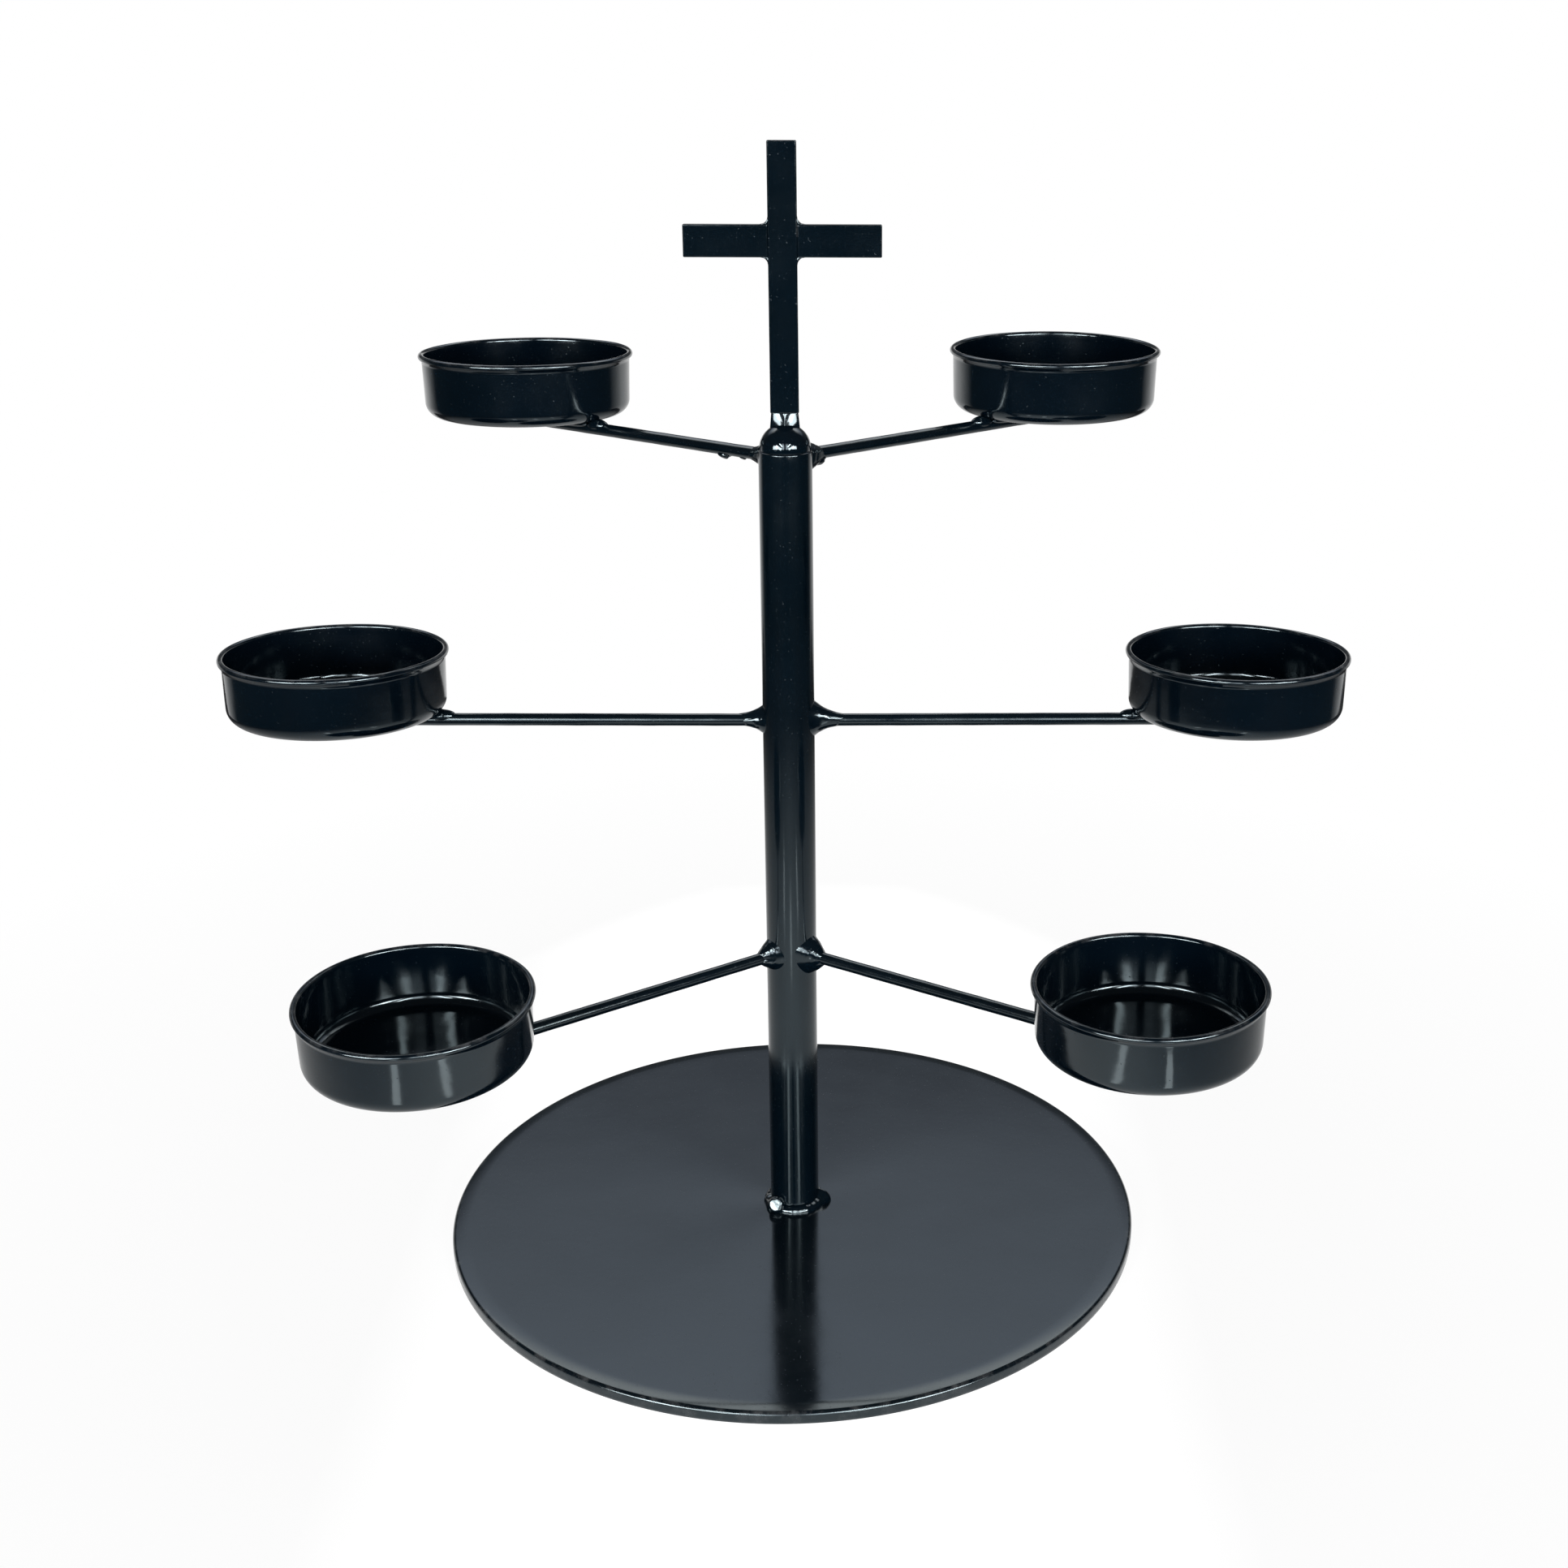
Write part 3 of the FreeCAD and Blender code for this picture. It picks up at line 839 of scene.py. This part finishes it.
def ramp(tree, value, stops):
    """Colours, or greys where one number is given, at sines of the height from -1 to 1, straight
    between."""
    made = paint_node(tree, "ShaderNodeValToRGB")
    elements = made.color_ramp.elements
    while len(elements) < len(stops):
        elements.new(0.5)
    for element, (sine, colour) in zip(elements, stops):
        element.position = (sine + 1) / 2
        element.color = (*colour, 1) if isinstance(colour, tuple) else (colour, colour, colour, 1)
    tree.links.new(value, made.inputs["Fac"])
    return made.outputs["Color"]


fill_colour = (0.98, 0.99, 1.0)
fill_strength = 0.25
glow_colour = (8.0, 8.2, 8.5)
white_backdrop = (1.0, 1.0, 1.0)
# Where the room turns from ahead to behind, and where each edge of the glows lies, as parts of a direction
room_turn = (0.40, 0.75)
glow_foot = (0.01, 0.05)
glow_head = (0.36, 0.56)
glow_inside = (0.05, 0.09)
glow_outside = (0.18, 0.32)
glow_far_end = (-0.8, -0.6)


def studio_world():
    """Even fill light on the colour. The camera sees white all round. Gloss sees a painted room in its
    place: a bright band behind the stand, about 30 to 55 degrees up, pale below the horizon there and
    nearly dark overhead, and a dim room in front with two pale glows low down at its far end."""
    world = bpy.data.worlds.new("studio")
    bpy.context.scene.world = world
    world.use_nodes = True
    tree = world.node_tree
    fill = tree.nodes["Background"]
    fill.inputs["Color"].default_value = (*fill_colour, 1)
    fill.inputs["Strength"].default_value = fill_strength
    direction = paint_node(tree, "ShaderNodeTexCoord")
    split = paint_node(tree, "ShaderNodeSeparateXYZ")
    tree.links.new(direction.outputs["Generated"], split.inputs[0])
    height = maths(tree, "MULTIPLY_ADD", split.outputs["Z"], 0.5)
    height.node.inputs[2].default_value = 0.5
    behind = ramp(tree, height, [
        (-1.0, 0.95), (0.06, 0.95), (0.15, 0.08), (0.44, (0.15, 0.17, 0.19)), (0.49, (0.43, 0.46, 0.54)),
        (0.53, (0.84, 0.92, 1.06)), (0.62, (1.36, 1.47, 1.70)), (0.70, 3.0), (0.79, 3.4), (0.84, 0.30),
        (0.93, 0.06),
    ])
    ahead = ramp(tree, height, [
        (-1.0, (0.05, 0.06, 0.07)), (-0.10, (0.03, 0.045, 0.055)), (0.2, 0.04), (0.97, 0.06),
    ])
    level = paint_node(tree, "ShaderNodeVectorMath", {1: (1, 1, 0)}, operation="MULTIPLY")
    tree.links.new(direction.outputs["Generated"], level.inputs[0])
    away = paint_node(tree, "ShaderNodeVectorMath", operation="LENGTH")
    tree.links.new(level.outputs["Vector"], away.inputs[0])
    backwards = maths(tree, "DIVIDE", split.outputs["Y"], away.outputs["Value"])
    mirrored = blended(tree, ranged(tree, backwards, *room_turn, 0.0, 1.0), ahead, behind)
    glow_up = ranged(tree, split.outputs["Z"], *glow_foot, 0.0, 1.0)
    glow_down = ranged(tree, split.outputs["Z"], *glow_head, 1.0, 0.0)
    glow_height = maths(tree, "MULTIPLY", glow_up, glow_down)
    aside = maths(tree, "ABSOLUTE", split.outputs["X"], 0.0)
    glow_inner = ranged(tree, aside, *glow_inside, 0.0, 1.0)
    glow_outer = ranged(tree, aside, *glow_outside, 1.0, 0.0)
    glow_across = maths(tree, "MULTIPLY", glow_inner, glow_outer)
    glow_ahead = ranged(tree, split.outputs["Y"], *glow_far_end, 1.0, 0.0)
    glow = maths(tree, "MULTIPLY", glow_height, maths(tree, "MULTIPLY", glow_across, glow_ahead))
    room = blended(tree, glow, mirrored, glow_colour)
    seen, camera_ray = seen_rays(tree)
    backdrop = paint_node(tree, "ShaderNodeBackground", {"Strength": 1.0})
    tree.links.new(blended(tree, camera_ray, room, white_backdrop), backdrop.inputs["Color"])
    mixed_surface(tree, seen, fill, backdrop, "World Output")


studio_world()


def soft_lamp(name, start, end, target, width, radiance, in_gloss=True, in_colour=True):
    """A strip lamp of the given radiance, as wide as given, from start to end, whose flat side faces
    its target: power = pi x area x radiance. It may be left out of the gloss or out of the light on the
    colour."""
    start, end = Vector(start), Vector(end)
    place = (start + end) / 2
    along = (end - start).normalized()
    across = along.cross(place - Vector(target)).normalized()
    data = bpy.data.lights.new(name, "AREA")
    data.shape = "RECTANGLE"
    data.size = width
    data.size_y = (end - start).length
    data.energy = math.pi * data.size * data.size_y * radiance
    lamp = bpy.data.objects.new(name, data)
    lamp.matrix_world = Matrix((across, along, across.cross(along))).transposed().to_4x4()
    lamp.location = place
    lamp.visible_camera = False
    lamp.visible_glossy = in_gloss
    lamp.visible_diffuse = in_colour
    bpy.context.scene.collection.objects.link(lamp)


def bearing(degrees, distance, height):
    """A place in front of the stand, turned from straight ahead towards the right."""
    turn = math.radians(degrees)
    return (distance * math.sin(turn), -distance * math.cos(turn), height)


middle_of_stand = (0, 0, 0.22)
strip_height = 0.004
floor_strips = {
    "left": ((-0.143, -0.24), (-0.160, -0.32)),
    "middle": ((0, -0.22), (0, -0.30)),
    "right": ((0.152, -0.24), (0.170, -0.32)),
}
soft_lamp(
    "ceiling_lamp", (0, -0.1, 1.5), (0, 1.1, 1.5),
    target=(0, 0.5, 0), width=1.4, radiance=0.7, in_gloss=False,
)
for side, sign in (("left", -1), ("right", 1)):
    soft_lamp(
        f"{side}_window", bearing(sign * 16, 3.1, 0.42), bearing(sign * 44, 2.9, 1.16),
        target=middle_of_stand, width=0.50, radiance=26.0,
    )
    soft_lamp(
        f"{side}_pane", bearing(sign * 43, 3.0, 0.40), bearing(sign * 43, 3.0, 1.20),
        target=middle_of_stand, width=1.15, radiance=24.0, in_colour=False,
    )
    soft_lamp(
        f"{side}_tube", bearing(sign * 13, 3.0, 1.10), bearing(sign * 28, 3.0, 1.96),
        target=middle_of_stand, width=0.26, radiance=36.0, in_colour=False,
    )
for place, (start, end) in floor_strips.items():
    soft_lamp(
        f"{place}_floor_strip", (*start, strip_height), (*end, strip_height),
        target=(*start, 1), width=0.022, radiance=3.5, in_colour=False,
    )

# Camera, fitted to the photograph's rims, disc, rods and cross: focal length and middle in its pixels,
# angles in degrees, eye in millimetres

PICTURE = 1932
SENSOR = 36.0
focal = 2497.546
middle_x = 1106.390
middle_y = 909.297
pitch = math.radians(18.969)
roll = math.radians(-0.322)
yaw = math.radians(1.327)
eye = np.array([22.577, -670.671, 419.698]) * MM
forward = np.array([math.sin(yaw) * math.cos(pitch), math.cos(yaw) * math.cos(pitch), -math.sin(pitch)])
right = np.array([math.cos(yaw), -math.sin(yaw), 0])
upward = np.cross(right, forward)
turned_right = math.cos(roll) * right - math.sin(roll) * upward
turned_up = math.sin(roll) * right + math.cos(roll) * upward
camera = bpy.data.cameras.new("photo_camera")
camera.sensor_width = SENSOR
camera.lens = focal / PICTURE * SENSOR
camera.shift_x = (PICTURE / 2 - middle_x) / PICTURE
camera.shift_y = (middle_y - PICTURE / 2) / PICTURE
camera.clip_start = 0.01
stand_camera = bpy.data.objects.new("photo_camera", camera)
axes = np.stack([turned_right, turned_up, -forward], 1).tolist()
rows = [(*row, place) for row, place in zip(axes, eye.tolist())]
stand_camera.matrix_world = Matrix(rows + [(0, 0, 0, 1)])
bpy.context.scene.collection.objects.link(stand_camera)
bpy.context.scene.camera = stand_camera
bpy.context.scene.view_settings.view_transform = "Standard"

bpy.context.view_layer.update()
